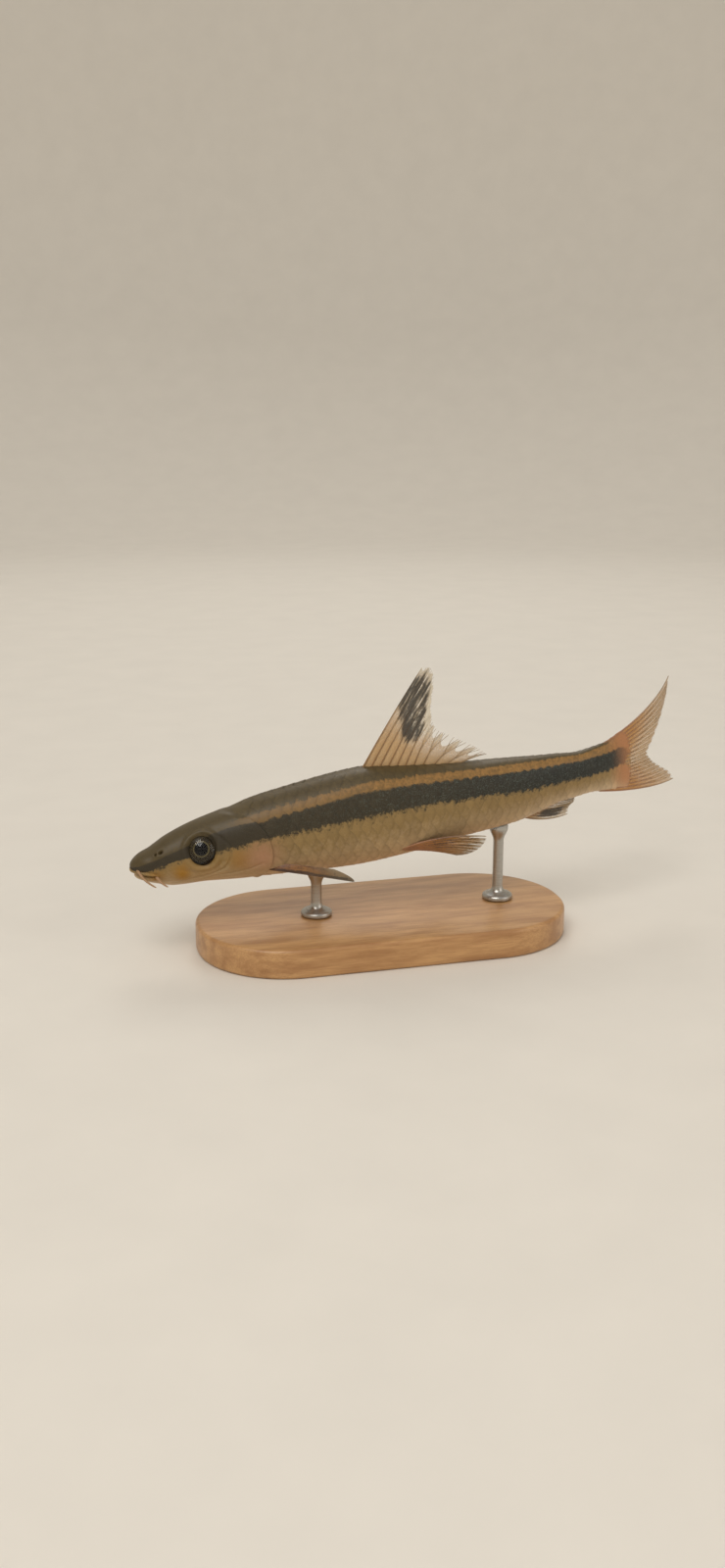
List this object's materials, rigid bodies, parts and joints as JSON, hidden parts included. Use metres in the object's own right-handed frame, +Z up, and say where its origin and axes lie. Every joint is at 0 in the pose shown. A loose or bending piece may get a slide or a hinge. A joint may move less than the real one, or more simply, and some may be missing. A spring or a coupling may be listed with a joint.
{
  "type": "flying fox aquarium fish",
  "caption": "Life-size flying fox, a slender striped algae-eating aquarium fish, nose down with its tail swung aside, held over a flat wooden display stand on short steel rods.",
  "frame": {"origin": "middle of the underside of the stand's base, on the floor", "axes": "+Z up, -X towards the fish's nose, -Y towards its left side"},
  "size_m": [0.1259, 0.0384, 0.0567],
  "materials": {
    "skin": "wet fish skin with fine scales, black stripe under a gold band",
    "membrane": "thin, moist, partly clear fin membrane on rays",
    "eyeball": "wet and clear over a dark iris with a thin pale ring",
    "base_wood": "fine satin varnish",
    "rod_steel": "turned and lightly brushed"
  },
  "bodies": {
    "root": {"head": "skin", "trunk": "skin", "tail_stalk": "skin", "eye_left": "eyeball", "eye_right": "eyeball", "barbel_snout_left": "skin", "barbel_snout_right": "skin", "barbel_mouth_left": "skin", "barbel_mouth_right": "skin", "dorsal_fin": "membrane", "anal_fin": "membrane", "tail_fin_upper": "membrane", "tail_fin_lower": "membrane", "pectoral_fin_left": "membrane", "pectoral_fin_right": "membrane", "pelvic_fin_left": "membrane", "pelvic_fin_right": "membrane", "stand_base": "base_wood", "stand_rod_front": "rod_steel", "stand_rod_rear": "rod_steel"}
  },
  "joints": []
}
